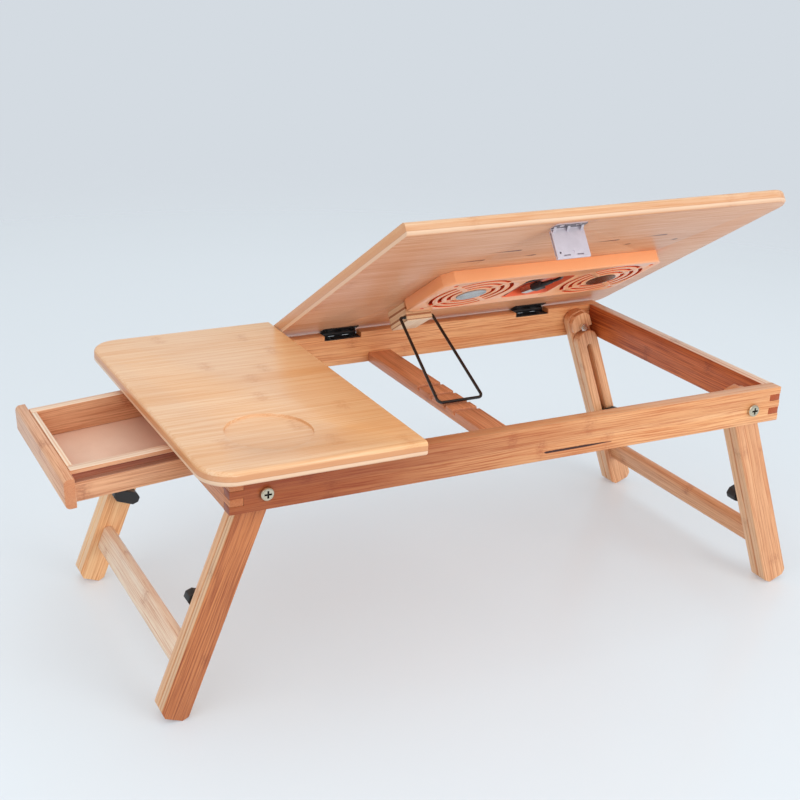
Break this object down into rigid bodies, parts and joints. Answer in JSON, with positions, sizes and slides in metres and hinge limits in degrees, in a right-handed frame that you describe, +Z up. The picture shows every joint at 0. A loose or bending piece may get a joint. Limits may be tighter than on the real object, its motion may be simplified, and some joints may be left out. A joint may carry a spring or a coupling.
{
  "type": "laptop stand with drawer",
  "caption": "Folding bamboo laptop table with a tilting panel on a wire prop, cooling fans under it, extending splayed legs and a small side drawer.",
  "frame": {"origin": "under the middle of the opened table, on the floor", "axes": "+X along the long rails from the drawer end to the tilting-panel end, +Y towards the user, where the panel hinges are, +Z up"},
  "size_m": [0.7212, 0.3338, 0.3974],
  "materials": {
    "bamboo_panel": "clear-lacquered bamboo strips glued edge to edge, satin",
    "bamboo_frame": "clear-lacquered bamboo strips, satin",
    "bamboo_legs": "clear-lacquered bamboo strips, satin, edges eased",
    "bamboo_drawer": "clear-lacquered bamboo, satin",
    "hardboard": "thin smooth hardboard",
    "black_hinge": "black painted steel",
    "black_wire": "black painted steel wire, semi-gloss",
    "plated_steel": "zinc-plated steel",
    "orange_plastic": "moulded wood-coloured plastic, matt",
    "rotor_plastic": "moulded dark orange-brown plastic",
    "hub_metal": "satin metal disc",
    "black_rubber": "matt cable sheath",
    "black_plastic": "moulded black plastic",
    "plug_shell": "plated sheet metal"
  },
  "bodies": {
    "frame": {"front_rail": "bamboo_frame", "back_rail": "bamboo_frame", "left_end_rail_front": "bamboo_frame", "left_end_rail_back": "bamboo_frame", "right_end_rail": "bamboo_frame", "notched_bar": "bamboo_frame", "fixed_panel": "bamboo_panel", "drawer_batten_front": "bamboo_frame", "drawer_batten_back": "bamboo_frame", "drawer_ledges": "plated_steel", "hinge_rail_leaf_left": "black_hinge", "hinge_rail_leaf_right": "black_hinge", "hinge_pin_left": "plated_steel", "hinge_pin_right": "plated_steel", "hinge_rail_screws": "plated_steel", "pivot_bolts": "plated_steel", "pivot_nuts": "plated_steel"},
    "tilting_top": {"tilting_panel": "bamboo_panel", "hinge_panel_leaf_left": "black_hinge", "hinge_panel_leaf_right": "black_hinge", "hinge_panel_screws": "plated_steel", "prop_block": "bamboo_frame", "fan_housing": "orange_plastic", "fan_housing_screws": "plated_steel", "fan_motor_left": "hub_metal", "fan_motor_right": "hub_metal", "usb_lead": "black_rubber", "usb_plug_body": "black_plastic", "usb_plug_shell": "plug_shell", "catch_bracket": "plated_steel", "catch_screws": "plated_steel"},
    "prop": {"wire_prop": "black_wire"},
    "catch_tip": {"catch_lip": "plated_steel"},
    "left_fan": {"fan_rotor_left": "rotor_plastic"},
    "right_fan": {"fan_rotor_right": "rotor_plastic"},
    "drawer_guides": {"drawer_pegs": "bamboo_drawer"},
    "drawer": {"drawer_side_front": "bamboo_drawer", "drawer_side_back": "bamboo_drawer", "drawer_box_front": "bamboo_drawer", "drawer_box_back": "bamboo_drawer", "drawer_bottom": "hardboard", "drawer_front_board": "bamboo_drawer"},
    "left_legs": {"left_front_leg": "bamboo_legs", "left_back_leg": "bamboo_legs", "left_leg_packers": "bamboo_legs"},
    "right_legs": {"right_front_leg": "bamboo_legs", "right_back_leg": "bamboo_legs", "right_leg_packers": "bamboo_legs"},
    "left_lower_legs": {"left_front_slider": "bamboo_legs", "left_back_slider": "bamboo_legs", "left_stretcher": "bamboo_legs"},
    "right_lower_legs": {"right_front_slider": "bamboo_legs", "right_back_slider": "bamboo_legs", "right_stretcher": "bamboo_legs"},
    "left_front_screw_knob": {"left_front_knob": "black_plastic"},
    "left_back_screw_knob": {"left_back_knob": "black_plastic"},
    "right_front_screw_knob": {"right_front_knob": "black_plastic"},
    "right_back_screw_knob": {"right_back_knob": "black_plastic"}
  },
  "joints": [
    {"name": "panel_tilt", "type": "hinge", "parent": "frame", "child": "tilting_top", "pos_m": [0.10427, 0.14412, 0.2155], "axis": [1, 0, 0], "range_deg": [-32.7, 33.3]},
    {"name": "prop_swing", "type": "hinge", "parent": "tilting_top", "child": "prop", "pos_m": [0.03697, 0.06718, 0.25192], "axis": [1, 0, 0], "range_deg": [-61, 59.9]},
    {"name": "catch_unfold", "type": "hinge", "parent": "tilting_top", "child": "catch_tip", "pos_m": [0.08327, -0.11423, 0.35625], "axis": [1, 0, 0], "range_deg": [-270, 0]},
    {"name": "left_fan_spin", "type": "hinge", "parent": "tilting_top", "child": "left_fan", "pos_m": [0.07077, 0.0266, 0.28886], "axis": [0, 0.549, 0.8358], "continuous": true},
    {"name": "right_fan_spin", "type": "hinge", "parent": "tilting_top", "child": "right_fan", "pos_m": [0.22277, 0.0266, 0.28886], "axis": [0, 0.549, 0.8358], "continuous": true},
    {"name": "drawer_slide", "type": "slide", "parent": "drawer_guides", "child": "drawer", "axis": [0.9973, 0, 0.0732], "range_m": [0, 0.105]},
    {"name": "drawer_tip", "type": "hinge", "parent": "frame", "child": "drawer_guides", "pos_m": [-0.23973, 0.00212, 0.20745], "axis": [0, 1, 0], "range_deg": [0, 4.2]},
    {"name": "left_legs_fold", "type": "hinge", "parent": "frame", "child": "left_legs", "pos_m": [-0.2143, -0.00188, 0.199], "axis": [0, 1, 0], "range_deg": [-110.5, 0]},
    {"name": "left_legs_extend", "type": "slide", "parent": "left_legs", "child": "left_lower_legs", "axis": [-0.3502, 0, -0.9367], "range_m": [0, 0.085]},
    {"name": "left_front_knob_turn", "type": "hinge", "parent": "left_legs", "child": "left_front_screw_knob", "pos_m": [-0.25422, -0.10763, 0.09222], "axis": [0, 1, 0], "range_deg": [0, 360]},
    {"name": "left_back_knob_turn", "type": "hinge", "parent": "left_legs", "child": "left_back_screw_knob", "pos_m": [-0.25422, 0.10387, 0.09222], "axis": [0, 1, 0], "range_deg": [-360, 0]},
    {"name": "right_legs_fold", "type": "hinge", "parent": "frame", "child": "right_legs", "pos_m": [0.27683, -0.00188, 0.199], "axis": [0, -1, 0], "range_deg": [-110.5, 0]},
    {"name": "right_legs_extend", "type": "slide", "parent": "right_legs", "child": "right_lower_legs", "axis": [0.3502, 0, -0.9367], "range_m": [0, 0.085]},
    {"name": "right_front_knob_turn", "type": "hinge", "parent": "right_legs", "child": "right_front_screw_knob", "pos_m": [0.31676, -0.10763, 0.09222], "axis": [0, 1, 0], "range_deg": [0, 360]},
    {"name": "right_back_knob_turn", "type": "hinge", "parent": "right_legs", "child": "right_back_screw_knob", "pos_m": [0.31676, 0.10387, 0.09222], "axis": [0, 1, 0], "range_deg": [-360, 0]}
  ],
  "couplings": [
    {"joint": "prop_swing", "follows": "panel_tilt", "ratio": -1.83},
    {"joint": "drawer_tip", "follows": "drawer_slide", "rad_per_m": 0.69813}
  ]
}
